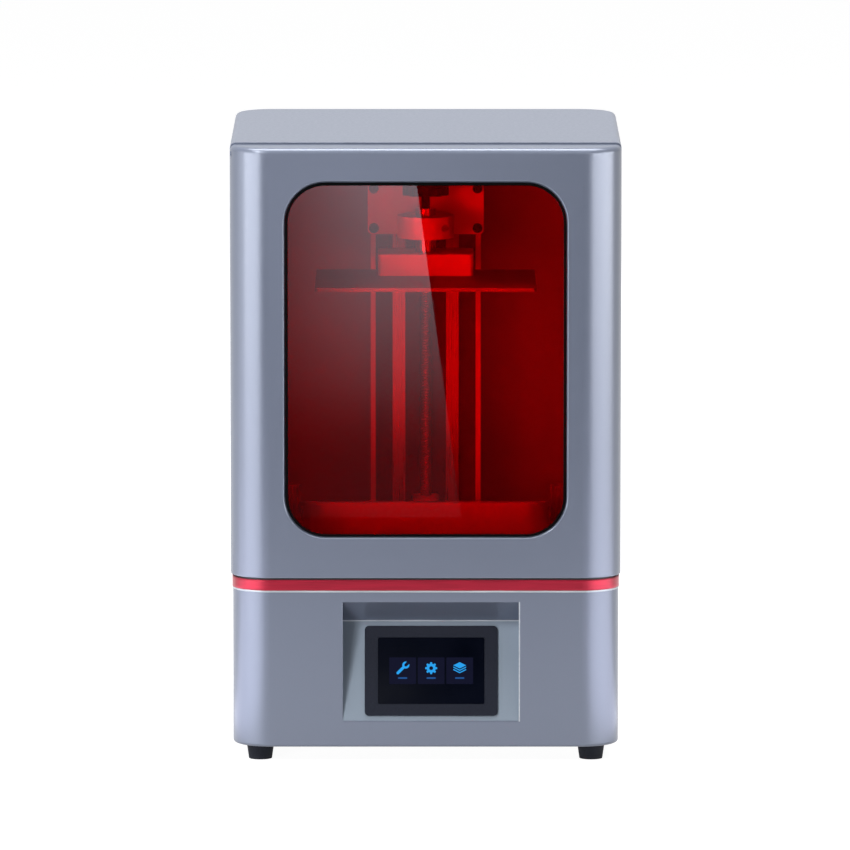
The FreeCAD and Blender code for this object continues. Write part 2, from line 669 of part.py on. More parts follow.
def make_vat():
    node("masking_lcd", box("masking_lcd", about("0", "lcd_width"), about("platform_y", "lcd_depth"),
                            (DECK_TOP, f"{DECK_TOP} + lcd_thickness")))
    inner = ("vat_width - 2 * vat_wall", "vat_depth - 2 * vat_wall", "vat_radius - vat_wall")
    outer = ("vat_width", "vat_depth", "vat_radius")
    frame = rounded("film_frame_outer", *outer, "film_frame_thickness", "0", "platform_y", DECK_TOP)
    frame_hole = rounded("film_frame_hole", *inner, "3 * film_frame_thickness", "0", "platform_y",
                         f"{DECK_TOP} - film_frame_thickness")
    node("vat_film_frame", cut("vat_film_frame", frame, frame_hole))
    node("vat_film", rounded("vat_film", *outer, "film_thickness", "0", "platform_y",
                             f"{DECK_TOP} + film_frame_thickness"))
    wall = rounded("vat_outer", *outer, "vat_height", "0", "platform_y", FILM_TOP)
    rim_size = [f"{side} + 2 * vat_rim" for side in outer[:2]]
    rim = rounded("vat_rim_ring", *rim_size, "vat_radius + vat_rim", "2 * vat_rim", "0", "platform_y",
                  f"{FILM_TOP} + vat_height - 2 * vat_rim")
    round_end(rim, "vat_rim / 2", "2 * vat_rim")
    ears = []
    holes = []
    for side, sign in (("left", -1), ("right", 1)):
        middle = f"{sign} * (vat_width / 2 - vat_wall / 2 + ear_width / 2)"
        ears.append(box(f"ear_{side}", about(middle, "ear_width + vat_wall"), about("platform_y", "ear_depth"),
                        (FILM_TOP, EAR_TOP)))
        holes.append(pin(f"ear_hole_{side}", "thumb_stem_radius + running_fit", DECK_BOTTOM,
                         f"{EAR_TOP} + ear_height", f"{sign} * {THUMB_X}", "platform_y"))
    cavity = rounded("vat_cavity", *inner, "2 * vat_height", "0", "platform_y", f"{FILM_TOP} - film_thickness")
    node("vat_body", cut("vat_body", fuse("vat_walls", wall, rim, *ears), cavity, vat_slope(), *holes))
    for side, sign in (("left", -1), ("right", 1)):
        node(f"vat_thumbscrew_{side}", thumbscrew(side, f"{sign} * {THUMB_X}"))


def fluted(name, radius, flute, count, low, high, x, y):
    """A round knob with flutes cut evenly round its rim."""
    head = pin(f"{name}_head", radius, low, high, x, y)
    flutes = []
    for turn in range(count):
        angle = f"{turn * 360 / count} deg"
        flutes.append(pin(f"{name}_flute_{turn}", flute, f"{low} - 1", f"{high} + 1",
                          f"{x} + ({radius} + {flute} / 2) * cos({angle})",
                          f"{y} + ({radius} + {flute} / 2) * sin({angle})"))
    return cut(f"{name}_fluted", head, *flutes)


def thumbscrew(side, x):
    low = f"({EAR_TOP} + thumb_gap)"
    head = fluted(f"thumb_{side}", "thumb_radius", "(thumb_radius / 6)", THUMB_FLUTES, low, f"({low} + thumb_height)",
                  x, "platform_y")
    stem = pin(f"thumb_stem_{side}", "thumb_stem_radius", DECK_BOTTOM, f"{low} + thumb_height / 2", x, "platform_y")
    return fuse(f"vat_thumbscrew_{side}", head, stem)


def make_column():
    outer = box("column_outer", about("0", "column_width"), (COLUMN_FRONT, COLUMN_REAR),
                (f"{DECK_TOP} + column_foot_height", COLUMN_TOP))
    inner = box("column_inner", about("0", "column_width - 2 * column_wall"), (f"{COLUMN_FRONT} - 1", WEB_FRONT),
                (DECK_TOP, f"{COLUMN_TOP} + column_wall"))
    node("z_column", cut("z_column", outer, inner))
    foot = box("foot_plate", about("0", "column_width + 2 * column_foot_margin"), (COLUMN_FRONT, COLUMN_REAR),
               (DECK_TOP, f"{DECK_TOP} + column_foot_height"))
    foot_hole = pin("foot_hole", "coupler_radius + coupler_hole_gap", DECK_BOTTOM, COLUMN_TOP, "0", SCREW_Y)
    node("column_foot", cut("column_foot", foot, foot_hole))
    cap = box("cap_plate", about("0", "column_width"), (COLUMN_FRONT, COLUMN_REAR),
              (COLUMN_TOP, f"{COLUMN_TOP} + column_cap_height"))
    cap_hole = pin("cap_hole", "bearing_radius", DECK_TOP, HOOD_TOP, "0", SCREW_Y)
    node("column_cap", cut("column_cap", cap, cap_hole))
    ring = pin("bearing_ring", "bearing_radius", COLUMN_TOP, f"{COLUMN_TOP} + column_cap_height", "0", SCREW_Y)
    ring_bore = pin("bearing_bore", "screw_radius + running_fit", DECK_TOP, HOOD_TOP, "0", SCREW_Y)
    node("screw_bearing", cut("screw_bearing", ring, ring_bore))
    for side, sign in (("left", -1), ("right", 1)):
        rail = box(f"rail_{side}", about(f"{sign} * rail_spacing / 2", "rail_width"), (RAIL_FRONT, WEB_FRONT),
                   (f"{DECK_TOP} + column_foot_height + rail_end_gap", f"{COLUMN_TOP} - rail_end_gap"))
        node(f"z_rail_{side}", rail)


def make_drive():
    motor_top = DECK_BOTTOM
    can = rounded("motor_can", "motor_size", "motor_size", "motor_radius", "motor_height", "0", SCREW_Y,
                  f"{motor_top} - motor_height")
    boss = pin("motor_boss", "motor_boss_radius", motor_top, f"{motor_top} + motor_boss_height", "0", SCREW_Y)
    shaft_low = f"({motor_top} - motor_height / 2)"
    shaft_hole = pin("motor_hole", "motor_shaft_radius + running_fit", f"{shaft_low} - running_fit", DECK_TOP,
                     "0", SCREW_Y)
    node("z_motor", cut("z_motor", fuse("motor_whole", can, boss), shaft_hole))
    middle = f"({COUPLER_BOTTOM} + coupler_height / 2)"
    node("motor_shaft", pin("motor_shaft", "motor_shaft_radius", shaft_low, middle, "0", SCREW_Y))
    sleeve = pin("coupler_sleeve", "coupler_radius", COUPLER_BOTTOM, COUPLER_TOP, "0", SCREW_Y)
    lower = pin("coupler_lower", "motor_shaft_radius", DECK_BOTTOM, f"{middle} + running_fit", "0", SCREW_Y)
    upper = pin("coupler_upper", "screw_radius", middle, HOOD_TOP, "0", SCREW_Y)
    node("shaft_coupler", cut("shaft_coupler", sleeve, lower, upper))
    node("lead_screw", pin("lead_screw", "screw_radius", f"{middle} + running_fit",
                           f"{COLUMN_TOP} + column_cap_height", "0", SCREW_Y))


def make_carriage():
    middle = f"({CARRIAGE_Z} + carriage_height / 2)"
    node("carriage_plate", rounded("carriage_plate", "carriage_width", "carriage_height", "carriage_radius",
                                   "carriage_thickness", "0", CARRIAGE_BACK, middle, FRONTWARD))
    heads = []
    for column in (-1, 1):
        for row in (-1, 1):
            heads.append(cylinder(f"carriage_screw_{column}_{row}", "carriage_screw_radius", "carriage_screw_head",
                                  f"{column} * (carriage_width / 2 - carriage_screw_edge)", CARRIAGE_FRONT,
                                  f"{middle} + {row} * (carriage_height / 2 - carriage_screw_edge)", FRONTWARD))
    node("carriage_screws", gather("Part::Compound", "carriage_screws", heads))
    for side, sign in (("left", -1), ("right", 1)):
        place_x = f"{sign} * rail_spacing / 2"
        body = box(f"block_{side}", about(place_x, "block_width"),
                   (CARRIAGE_BACK, f"{RAIL_FRONT} + rail_grip"), about(middle, "block_height"))
        groove = box(f"block_groove_{side}", about(place_x, "rail_width + 2 * slide_fit"),
                     (f"{RAIL_FRONT} - slide_fit", COLUMN_REAR), about(middle, "2 * block_height"))
        node(f"carriage_block_{side}", cut(f"carriage_block_{side}", body, groove))
    nut = box("nut_block", about("0", "nut_width"), (CARRIAGE_BACK, f"{SCREW_Y} + nut_width / 2"),
              about(middle, "nut_height"))
    nut_bore = pin("nut_bore", "screw_radius + running_fit", DECK_TOP, HOOD_TOP, "0", SCREW_Y)
    node("lead_nut", cut("lead_nut", nut, nut_bore))


def make_platform():
    node("build_plate", rounded("build_plate", "plate_width", "plate_depth", "plate_radius", "plate_thickness",
                                "0", "platform_y", PLATE_BOTTOM))
    node("platform_block", rounded("platform_block", "platform_block_width", "platform_block_depth", "plate_radius",
                                   "platform_block_height", "0", COLLAR_Y, PLATE_TOP))
    stud_hole = pin("stem_hole", "knob_stud_radius + running_fit", f"{STUD_BOTTOM} - running_fit", HOOD_TOP,
                    "0", COLLAR_Y)
    node("ball_stem", cut("ball_stem", pin("stem", "stem_radius", BLOCK_TOP, STEM_TOP, "0", COLLAR_Y), stud_hole))
    ring = pin("collar_ring", "collar_radius", COLLAR_BOTTOM, COLLAR_TOP, "0", COLLAR_Y)
    ring_bore = pin("collar_bore", "stem_radius", DECK_TOP, HOOD_TOP, "0", COLLAR_Y)
    pinch = cylinder("pinch_hole", "collar_hole_radius", "collar_radius", "(collar_radius + stem_radius) / 2",
                     COLLAR_Y, f"{COLLAR_BOTTOM} + collar_height / 2", FRONTWARD)
    node("clamp_collar", cut("clamp_collar", ring, ring_bore, pinch))
    arm = box("arm_bar", about("0", "arm_width"), (COLLAR_Y, CARRIAGE_FRONT),
              (f"{COLLAR_BOTTOM} + arm_inset", f"{COLLAR_TOP} - arm_inset"))
    arm_seat = pin("arm_seat", "collar_radius", COLLAR_BOTTOM, COLLAR_TOP, "0", COLLAR_Y)
    node("platform_arm", cut("platform_arm", arm, arm_seat))
    knob = fluted("knob", "knob_radius", "knob_lobe_radius", KNOB_LOBES, KNOB_BOTTOM,
                  f"({KNOB_BOTTOM} + knob_height)", "0", COLLAR_Y)
    stud = pin("knob_stud", "knob_stud_radius", STUD_BOTTOM, f"{KNOB_BOTTOM} + knob_height / 2", "0", COLLAR_Y)
    node("platform_knob", fuse("platform_knob", knob, stud))


LAMP_BOTTOM = f"({DECK_BOTTOM} - lamp_height)"


def make_light_engine():
    wide = "(lcd_width - 2 * lcd_border)"
    deep = "(lcd_depth - 2 * lcd_border)"
    wall = "2 * lamp_top_wall"
    outer = frustum("lamp_outer", f"{wide} - lamp_taper + {wall}", f"{deep} - lamp_taper + {wall}",
                    f"{wide} + {wall}", f"{deep} + {wall}", LAMP_BOTTOM, DECK_BOTTOM, "platform_y")
    inner = frustum("lamp_inner", f"{wide} - lamp_taper", f"{deep} - lamp_taper", wide, deep,
                    LAMP_BOTTOM, DECK_BOTTOM, "platform_y")
    node("uv_light_box", cut("uv_light_box", outer, inner))
    board = (about("0", f"{wide} - lamp_taper + {wall}"), about("platform_y", f"{deep} - lamp_taper + {wall}"))
    board_low = f"({LAMP_BOTTOM} - led_board_thickness)"
    node("uv_led_board", box("uv_led_board", *board, (board_low, LAMP_BOTTOM)))
    plate_low = f"({board_low} - sink_plate)"
    solids = [box("sink_base", *board, (plate_low, board_low))]
    for index in range(SINK_FINS):
        share = index / (SINK_FINS - 1) - 0.5
        middle = f"{share} * ({wide} - lamp_taper + {wall} - fin_thickness)"
        solids.append(box(f"sink_fin_{index}", about(middle, "fin_thickness"), board[1],
                          (f"{plate_low} - sink_height", plate_low)))
    node("heat_sink", fuse("heat_sink", *solids))


def make_fan():
    span_x = about("fan_x", "fan_size")
    depth = (f"{REAR_INNER} - fan_depth", REAR_INNER)
    body = rounded("fan_body", "fan_size", "fan_size", "fan_corner", "fan_depth", "fan_x", REAR_INNER, FAN_Z, FRONTWARD)
    bore = cylinder("fan_bore", "fan_bore_radius", "2 * fan_depth", "fan_x", f"{REAR_INNER} + base_wall", FAN_Z,
                    FRONTWARD)
    strut_depth = (depth[0], f"{depth[0]} + fan_strut")
    struts = (box("fan_strut_across", span_x, strut_depth, about(FAN_Z, "fan_strut")),
              box("fan_strut_up", about("fan_x", "fan_strut"), strut_depth, about(FAN_Z, "fan_size")))
    hub = cylinder("fan_hub", "fan_hub_radius", "fan_strut", "fan_x", depth[0], FAN_Z, ALONG_Y)
    axle = cylinder("fan_axle", "fan_pin_radius", "fan_strut + fan_rotor_depth", "fan_x", depth[0], FAN_Z, ALONG_Y)
    node("fan_frame", fuse("fan_frame", cut("fan_ring", body, bore), *struts, hub, axle))
    start = f"({depth[0]} + fan_strut + fan_tip_gap)"
    rotor_hub = cylinder("rotor_hub", "fan_hub_radius", "fan_rotor_depth", "fan_x", start, FAN_Z, ALONG_Y)
    blades = [fan_blade(turn, start) for turn in range(FAN_BLADES)]
    rotor_bore = cylinder("rotor_bore", "fan_pin_radius + running_fit", "2 * fan_depth", "fan_x", depth[0], FAN_Z,
                          ALONG_Y)
    node("fan_rotor", cut("fan_rotor", fuse("rotor_whole", rotor_hub, *blades), rotor_bore))
    plate = box("grille_plate", about("fan_x", f"fan_size - {FIT}"), (REAR_INNER, BASE_REAR),
                about(FAN_Z, f"fan_size - {FIT}"))
    slots = []
    for index in range(GRILLE_SLOTS):
        middle = f"fan_x + {index - (GRILLE_SLOTS - 1) / 2} * grille_pitch"
        slots.append(box(f"grille_slot_{index}", about(middle, "grille_slot"),
                         (f"{REAR_INNER} - 1", f"{BASE_REAR} + 1"), about(FAN_Z, "2 * fan_bore_radius - fan_corner")))
    node("fan_grille", cut("fan_grille", plate, *slots))


def fan_blade(turn, start):
    """One pitched blade that runs out from inside the hub."""
    blade = doc.addObject("Part::Box", f"fan_blade_{turn}")
    length = "(fan_bore_radius - fan_tip_gap - fan_hub_radius / 2)"
    chord = "(fan_rotor_depth - fan_blade)"
    for side, text in (("Length", length), ("Width", chord), ("Height", "fan_blade")):
        blade.setExpression(side, bound(text))
    around = Rotation(Vector(0, 1, 0), turn * 360 / FAN_BLADES)
    turned = around.multiply(Rotation(Vector(1, 0, 0), BLADE_PITCH))
    outward = turned.multVec(Vector(1, 0, 0))
    along = turned.multVec(Vector(0, 1, 0))
    upward = turned.multVec(Vector(0, 0, 1))
    corner = {}
    for axis in "xyz":
        corner[axis] = (f"({getattr(outward, axis)} * fan_hub_radius / 2"
                        f" - {getattr(along, axis)} * {chord} / 2 - {getattr(upward, axis)} * fan_blade / 2)")
    place(blade, f"fan_x + {corner['x']}", f"{start} + fan_rotor_depth / 2 + {corner['y']}", f"{FAN_Z} + {corner['z']}",
          turned)
    return blade


def make_rear_fittings():
    face = f"({BASE_REAR} + inlet_proud)"
    body = rounded("inlet_block", "inlet_width", "inlet_height", "usb_shell * 2", "inlet_body", "inlet_x", face,
                   INLET_Z, FRONTWARD)
    cavity = rounded("inlet_cavity", "inlet_cavity_width", "inlet_cavity_height", "usb_shell * 2",
                     "inlet_cavity_depth + 1", "inlet_x", f"{face} + 1", INLET_Z, FRONTWARD)
    node("power_inlet", cut("power_inlet", body, cavity))
    pin_span = (f"{face} - inlet_cavity_depth", f"{face} - inlet_pin_recess")
    blades = []
    for index, (across, up) in enumerate(((-1, -1), (0, 1), (1, -1))):
        blades.append(box(f"inlet_pin_{index}", about(f"inlet_x + {across} * inlet_cavity_width / 3.2", "usb_tongue"),
                          pin_span, about(f"{INLET_Z} + {up} * usb_tongue", "2 * usb_tongue")))
    node("inlet_pins", gather("Part::Compound", "inlet_pins", blades))
    frame = box("switch_block", about("switch_x", "switch_width"), (f"{face} - switch_body", face),
                about(INLET_Z, "switch_height"))
    well = box("switch_well", about("switch_x", "switch_width - 2 * switch_rim"),
               (f"{face} - switch_body + switch_rim", f"{face} + 1"), about(INLET_Z, "switch_height - 2 * switch_rim"))
    pivot_y = f"({face} - rocker_pivot)"
    pivot = cylinder("switch_pivot", "rocker_pin_radius", "switch_width - switch_rim",
                     "switch_x - switch_width / 2 + switch_rim / 2", pivot_y, INLET_Z, ALONG_X)
    node("switch_frame", fuse("switch_frame", cut("switch_cup", frame, well), pivot))
    node("power_switch", rocker(pivot_y))
    shell = box("usb_block", about("usb_x", "usb_width"), (f"{face} - usb_body", face), about(USB_Z, "usb_height"))
    slot = box("usb_slot", about("usb_x", "usb_width - 2 * usb_shell"),
               (f"{face} - usb_body + usb_shell", f"{face} + 1"), about(USB_Z, "usb_height - 2 * usb_shell"))
    tongue_top = f"{USB_Z} + usb_height / 2 - 2 * usb_shell"
    tongue = box("usb_tongue_plate", about("usb_x", "usb_width - 4 * usb_shell"),
                 (f"{face} - usb_body + usb_shell / 2", f"{face} - 2 * usb_shell"),
                 (f"{tongue_top} - usb_tongue", tongue_top))
    node("usb_port", fuse("usb_port", cut("usb_case", shell, slot), tongue))


def rocker(pivot_y):
    """A rocker with a shallow V face, leaning to its off side about its pivot pin."""
    half = "(switch_height / 2 - switch_rim - rocker_fit)"
    rise = "(rocker_pivot - inlet_proud)"
    corners = (
        (f"-{half}", "-rocker_pivot / 2"),
        (half, "-rocker_pivot / 2"),
        (half, rise),
        ("0", f"{rise} - rocker_fit"),
        (f"-{half}", rise),
    )
    length = "(switch_width - 2 * switch_rim - rocker_fit)"
    upright = Rotation(Vector(0, 0, -1), Vector(0, 1, 0), Vector(-1, 0, 0), "XYZ")
    body = profile("rocker_body", corners, length, f"switch_x - {length} / 2", pivot_y, INLET_Z,
                   Rotation(Vector(1, 0, 0), number("rocker_tilt")).multiply(upright))
    bore = cylinder("rocker_bore", "rocker_pin_radius + running_fit", "2 * switch_width", "switch_x - switch_width",
                    pivot_y, INLET_Z, ALONG_X)
    return cut("power_switch", body, bore)


def make_electronics():
    board_x = f"(-{BASE_WIDTH} / 2 + base_wall + inner_margin + board_width / 2)"
    board_low = f"({FLOOR_TOP} + board_lift)"
    plate = box("board_plate", about(board_x, "board_width"), about("0", "board_depth"),
                (board_low, f"{board_low} + board_thickness"))
    posts = []
    for column in (-1, 1):
        for row in (-1, 1):
            posts.append(pin(f"standoff_{column}_{row}", "standoff_radius", FLOOR_TOP, board_low,
                             f"{board_x} + {column} * (board_width / 2 - 2 * standoff_radius)",
                             f"{row} * (board_depth / 2 - 2 * standoff_radius)"))
    node("main_board", fuse("main_board", plate, *posts))
    supply_x = f"({BASE_WIDTH} / 2 - base_wall - inner_margin - supply_width / 2)"
    node("power_supply", rounded("power_supply", "supply_width", "supply_depth", "standoff_radius", "supply_height",
                                 supply_x, "0", FLOOR_TOP))


def main():
    make_feet()
    make_base()
    make_touch_screen()
    make_band_and_deck()
    make_housing()
    make_door()
    make_vat()
    make_column()
    make_drive()
    make_carriage()
    make_platform()
    make_light_engine()
    make_fan()
    make_rear_fittings()
    make_electronics()
    doc.recompute()
    failed = [item.Name for item in doc.Objects if {"Invalid", "Error"} & set(item.State)]
    failed += [item.Label for item in nodes if item.Shape.isNull() or not item.Shape.isValid()]
    if failed:
        raise RuntimeError(f"failed objects: {failed}")
    os.makedirs("parts", exist_ok=True)
    for item in nodes:
        item.Shape.exportStep(f"parts/{item.Label}.step")
        print(item.Label, len(item.Shape.Solids), round(item.Shape.Volume, 1))


main()
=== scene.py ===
"""Looks of the desktop resin printer: finishes, lit screen, screw thread, edge lines and the studio."""

import json
import math

import bmesh
import bpy
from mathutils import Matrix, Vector
from mathutils.geometry import tessellate_polygon


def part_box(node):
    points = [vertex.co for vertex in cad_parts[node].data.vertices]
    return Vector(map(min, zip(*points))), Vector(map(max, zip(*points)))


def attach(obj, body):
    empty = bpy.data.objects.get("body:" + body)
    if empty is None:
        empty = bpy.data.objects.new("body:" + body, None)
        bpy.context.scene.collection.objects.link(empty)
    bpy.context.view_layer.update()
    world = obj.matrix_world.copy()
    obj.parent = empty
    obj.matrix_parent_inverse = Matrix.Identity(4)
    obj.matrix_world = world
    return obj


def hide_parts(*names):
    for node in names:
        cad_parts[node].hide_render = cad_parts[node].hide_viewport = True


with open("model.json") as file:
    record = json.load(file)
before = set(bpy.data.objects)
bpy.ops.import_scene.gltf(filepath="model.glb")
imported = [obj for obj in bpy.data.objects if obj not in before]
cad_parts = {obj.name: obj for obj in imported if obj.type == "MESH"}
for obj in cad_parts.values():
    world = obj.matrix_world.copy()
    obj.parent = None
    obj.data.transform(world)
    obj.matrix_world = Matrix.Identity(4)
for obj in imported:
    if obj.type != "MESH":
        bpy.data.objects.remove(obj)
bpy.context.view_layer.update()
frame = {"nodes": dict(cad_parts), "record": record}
MM = 0.001

# Camera, as fitted to the photograph's outline
CAMERA_PLACE = (0.0, -6.664, 1.116)
CAMERA_PITCH = math.radians(7.674)
CAMERA_LENS = 405.5
CAMERA_SHIFT = -0.0008

WINDOW_TINT = (0.95, 0.004, 0.012, 1.0)

# Studio, in metres. The floor and the world are bright only to the camera, in gloss and through glass
FLOOR_SIDE = 16.0
FLOOR_DROP = 0.0004
FLOOR_GREY = (0.3, 0.3, 0.3, 1.0)
FLOOR_LIFT = 0.96
FILL_COLOUR = (0.95, 0.97, 1.0, 1.0)
FILL_STRENGTH = 0.07
WHITE_STRENGTH = 1.0
LIGHT_AIM = (0.0, 0.0, 0.2)

# Cards that show only in gloss, in metres: a black flag, a slanted glow before it and two sheets beside the foot
CARD_Y = -0.9
FLAG_Y = CARD_Y - 0.005
FLAG_REACH = 0.5
FLAG_TOP = 0.45
CARD_COLOUR = (0.92, 0.93, 1.06, 1.0)
GLOW_CORNERS = ((-0.17, 0.06), (0.0275, 0.06), (-0.0125, 0.36), (-0.17, 0.36))
GLOW_LEVEL = 3.3
GLOW_FADE = 0.33
GLOW_SIDES = (-0.107, -0.04)
GLOW_HEIGHTS = (0.1, 0.32)
GLOW_CURVE = ((0.0, 0.03), (1.0, 1.0), (0.16, 0.07), (0.3, 0.2), (0.44, 0.36), (0.57, 0.53), (0.85, 0.8))
SHEET_SIDES = (0.22, 1.1)
SHEET_DEPTHS = (-0.75, 0.05)
SHEET_RISE = 0.001
SHEET_LEVEL = 3.9

# The middle part of a noise texture's values, where its two ends are reached
NOISE_RANGE = (0.3, 0.7)

# Lit tiles on the touch display, in millimetres on its face
TILE_SIZE = 18.5
TILE_PITCH = 19.75
TILE_RADIUS = 0.6
TILE_LIFT = 0.05
ICON_RISE = 1.75
ICON_LIFT = 0.1
LABEL_DROP = 5.1
LABEL_SIZE = (6.4, 1.1)
LABEL_RADIUS = 0.5

# Screen bay, its facing (pale as painted light) and the painted highlight lines on the edges, in millimetres. The
# lines' sections run outwards and upwards
BASE_CORNER = 25.5
BASE_CORNER_STEPS = 12
BAY_SIDES = (-57.4, 65.0)
BAY_LEVELS = (28.4, 112.0)
BAY_CREASE = (-110.5, 96.5)
BEZEL_LAP = 3.0
FACING_INSET = 0.6
FACING_THICKNESS = 0.15
EDGE_SECTION = ((-0.3, -1.3), (0.1, -1.3), (0.3, -1.0), (0.35, -0.5), (0.3, -0.05), (-0.3, -0.05))
CREASE_SECTION = ((-0.4, -0.6), (0.35, -0.6), (0.55, -0.3), (0.5, 0.1), (0.2, 0.25), (-0.4, 0.1))
SIDE_SECTION = ((-0.8, 0.0), (-0.05, -0.65), (0.03, -0.6), (0.03, 0.15), (-0.8, 0.15))

# Lead screw thread, in millimetres
THREAD_STARTS = 4
THREAD_LEAD = 8.0
THREAD_DEPTH = 0.75
THREAD_STEP = 0.4
THREAD_SIDES = 32


def srgb(red, green, blue):
    """A linear colour from the 0 to 255 values that a screen shows."""
    parts = (value / 255 for value in (red, green, blue))
    return tuple(((part + 0.055) / 1.055) ** 2.4 if part > 0.04 else part / 12.92 for part in parts) + (1.0,)


class Finish:
    """A node material that starts as one Principled shader."""

    def __init__(self, name, **inputs):
        self.material = bpy.data.materials.new(name)
        self.material.use_nodes = True
        self.nodes = self.material.node_tree.nodes
        self.links = self.material.node_tree.links
        self.shader = self.nodes["Principled BSDF"]
        self.place = self.nodes.new("ShaderNodeTexCoord").outputs["Object"]
        for key, value in inputs.items():
            self.shader.inputs[key.replace("_", " ").title().replace("Ior", "IOR")].default_value = value

    def texture(self, scale, detail, stretch=(1, 1, 1)):
        """Noise in the object's own space, drawn out along chosen axes."""
        mapping = self.nodes.new("ShaderNodeMapping")
        mapping.inputs["Scale"].default_value = stretch
        noise = self.nodes.new("ShaderNodeTexNoise")
        noise.inputs["Scale"].default_value = scale
        noise.inputs["Detail"].default_value = detail
        self.links.new(self.place, mapping.inputs["Vector"])
        self.links.new(mapping.outputs["Vector"], noise.inputs["Vector"])
        return noise.outputs["Fac"]

    def ramp(self, source, low, high):
        """Blend between two colours over the source's middle range."""
        ramp = self.nodes.new("ShaderNodeValToRGB")
        ramp.color_ramp.elements[0].position = NOISE_RANGE[0]
        ramp.color_ramp.elements[1].position = NOISE_RANGE[1]
        ramp.color_ramp.elements[0].color = low
        ramp.color_ramp.elements[1].color = high
        self.links.new(source, ramp.inputs["Fac"])
        return ramp.outputs["Color"]

    def span(self, source, low, high):
        """Map the source's middle range to a range of numbers."""
        spread = self.nodes.new("ShaderNodeMapRange")
        spread.inputs["From Min"].default_value = NOISE_RANGE[0]
        spread.inputs["From Max"].default_value = NOISE_RANGE[1]
        spread.inputs["To Min"].default_value = low
        spread.inputs["To Max"].default_value = high
        self.links.new(source, spread.inputs["Value"])
        return spread.outputs["Result"]

    def colour(self, source, low, high):
        self.links.new(self.ramp(source, low, high), self.shader.inputs["Base Color"])
        return self

    def roughness(self, source, low, high):
        self.links.new(self.span(source, low, high), self.shader.inputs["Roughness"])
        return self

    def bump(self, source, strength, depth=0.0002):
        bump = self.nodes.new("ShaderNodeBump")
        bump.inputs["Strength"].default_value = strength
        bump.inputs["Distance"].default_value = depth
        self.links.new(source, bump.inputs["Height"])
        self.links.new(bump.outputs["Normal"], self.shader.inputs["Normal"])
        self.relief = bump
        return self

    def soft_edges(self, radius):
        """Light the sharp edges as if they had a small radius."""
        bevel = self.nodes.new("ShaderNodeBevel")
        bevel.samples = 6
        bevel.inputs["Radius"].default_value = radius
        self.links.new(bevel.outputs["Normal"], self.relief.inputs["Normal"])
        return self


def scaled(colour, factor):
    return tuple(min(1.0, part * factor) for part in colour[:3]) + (1.0,)


def casing_paint():
    """Satin grey-blue metallic paint with a fine flake and a faint orange peel."""
    finish = Finish("casing_paint", metallic=0.25, specular_ior_level=1.0)
    grey = srgb(107, 115, 134)
    flake = finish.texture(5200.0, 2.0)
    peel = finish.texture(420.0, 3.0)
    finish.colour(flake, scaled(grey, 0.94), scaled(grey, 1.06))
    finish.roughness(peel, 0.28, 0.34)
    return finish.bump(peel, 0.04).soft_edges(0.9 * MM).material


def anodised_red():
    """Red anodised strip with a faint lengthwise grain."""
    finish = Finish("anodised_red", metallic=0.6, specular_ior_level=0.5, coat_weight=0.2, coat_roughness=0.25)
    red = srgb(160, 12, 44)
    grain = finish.texture(900.0, 3.0, (0.04, 0.04, 1.0))
    finish.colour(grain, scaled(red, 0.86), scaled(red, 1.1))
    finish.roughness(grain, 0.3, 0.4)
    return finish.bump(grain, 0.05, 0.0001).soft_edges(2.4 * MM).material


def black_rubber():
    finish = Finish("black_rubber", specular_ior_level=0.15)
    speck = finish.texture(900.0, 5.0)
    finish.colour(speck, srgb(24, 26, 34), srgb(34, 36, 46))
    finish.roughness(speck, 0.6, 0.78)
    return finish.bump(speck, 0.25).material


def window_acrylic():
    """Polished red sheet: glass to the eye, and clear red to the light that falls through it."""
    finish = Finish("window_acrylic", transmission_weight=1.0, ior=1.49, base_color=WINDOW_TINT)
    wave = finish.texture(60.0, 2.0)
    finish.roughness(wave, 0.0, 0.02)
    lamp_side = finish.nodes.new("ShaderNodeBsdfTransparent")
    lamp_side.inputs["Color"].default_value = WINDOW_TINT
    path = finish.nodes.new("ShaderNodeLightPath")
    mix = finish.nodes.new("ShaderNodeMixShader")
    finish.links.new(path.outputs["Is Shadow Ray"], mix.inputs["Fac"])
    finish.links.new(finish.shader.outputs["BSDF"], mix.inputs[1])
    finish.links.new(lamp_side.outputs["BSDF"], mix.inputs[2])
    finish.links.new(mix.outputs["Shader"], finish.nodes["Material Output"].inputs["Surface"])
    return finish.material


def black_plastic():
    finish = Finish("black_plastic", specular_ior_level=0.12)
    grain = finish.texture(1500.0, 4.0)
    finish.colour(grain, srgb(28, 31, 41), srgb(35, 38, 49))
    finish.roughness(grain, 0.38, 0.5)
    return finish.bump(grain, 0.12, 0.0001).material


def screen_glass():
    finish = Finish("screen_glass", specular_ior_level=0.04)
    smear = finish.texture(45.0, 3.0)
    finish.colour(smear, srgb(4, 7, 17), srgb(6, 9, 21))
    return finish.roughness(smear, 0.12, 0.2).material


def dark_steel():
    finish = Finish("dark_steel", metallic=0.3, ior=1.5)
    grain = finish.texture(1200.0, 4.0)
    finish.colour(grain, srgb(46, 47, 52), srgb(58, 59, 64))
    finish.roughness(grain, 0.45, 0.58)
    return finish.bump(grain, 0.15, 0.0001).material


def blasted_aluminium():
    """Bead-blasted, clear anodised aluminium."""
    finish = Finish("blasted_aluminium", metallic=0.15, specular_ior_level=0.25)
    grain = finish.texture(2600.0, 5.0)
    cloud = finish.texture(25.0, 3.0)
    finish.colour(cloud, srgb(226, 227, 230), srgb(238, 239, 242))
    finish.roughness(cloud, 0.4, 0.5)
    return finish.bump(grain, 0.12, 0.0001).material


